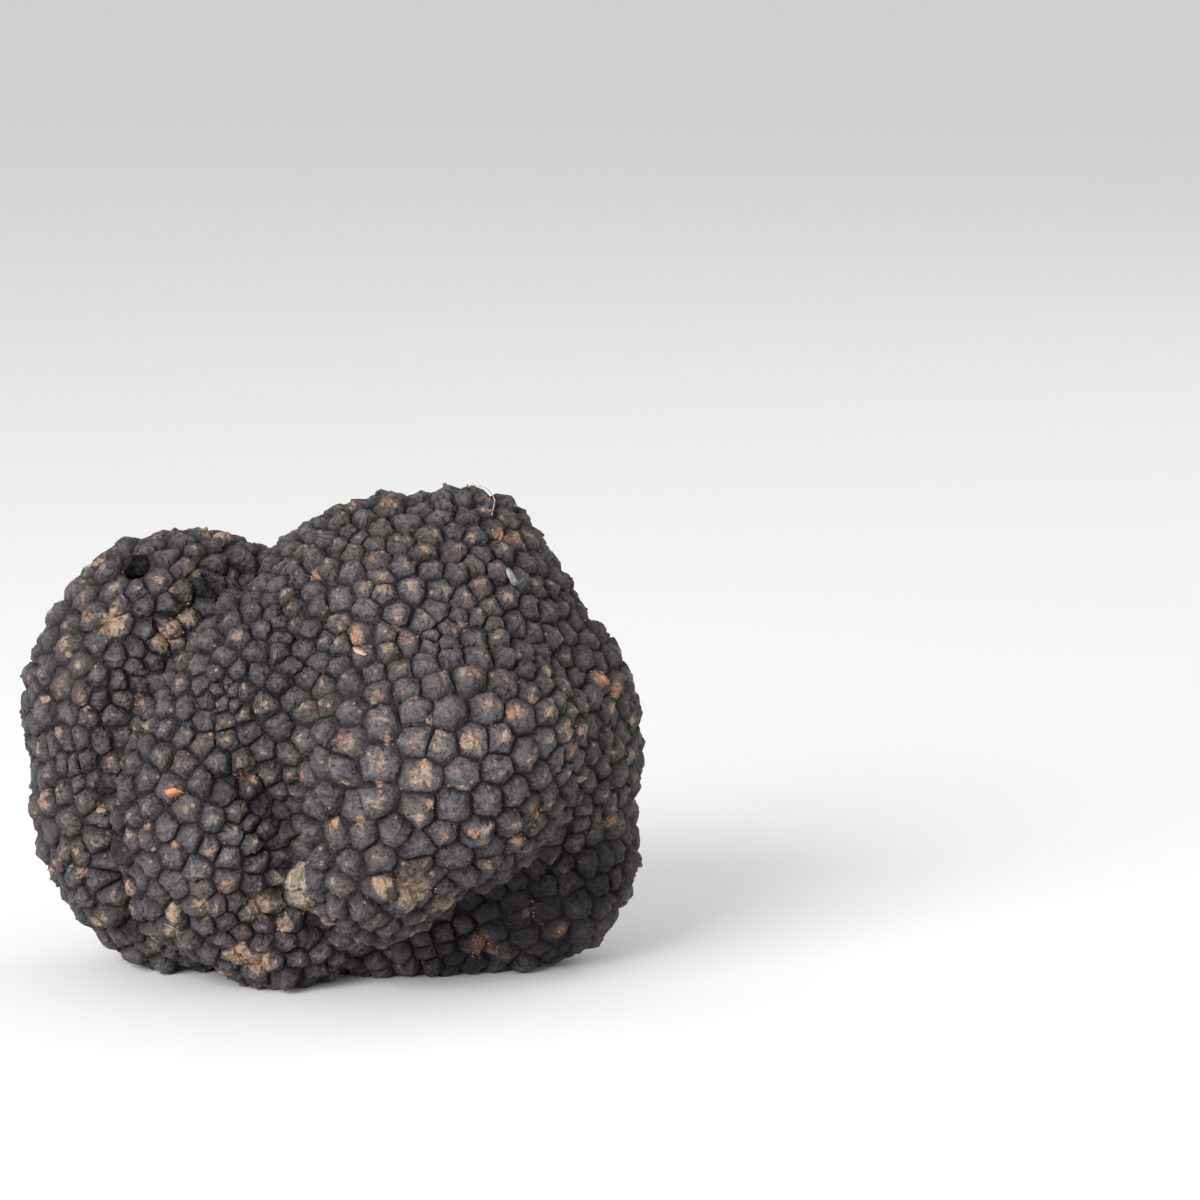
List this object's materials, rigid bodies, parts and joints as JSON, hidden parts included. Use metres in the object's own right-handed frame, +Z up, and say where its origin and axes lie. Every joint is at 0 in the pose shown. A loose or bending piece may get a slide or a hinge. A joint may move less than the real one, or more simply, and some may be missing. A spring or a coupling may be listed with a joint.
{
  "type": "black truffle",
  "caption": "Whole black truffle: a knobbly lobed fruiting body covered all over in low many-sided warts, with a worm hole in one lobe.",
  "frame": {"origin": "middle of the bounding box, on the surface that the truffle rests on", "axes": "+X to the right of the broad face and along the longest extent, +Y to the back, +Z up"},
  "size_m": [0.06, 0.0454, 0.0466],
  "materials": {
    "skin": "matte"
  },
  "bodies": {
    "root": {"truffle": "skin"}
  },
  "joints": []
}
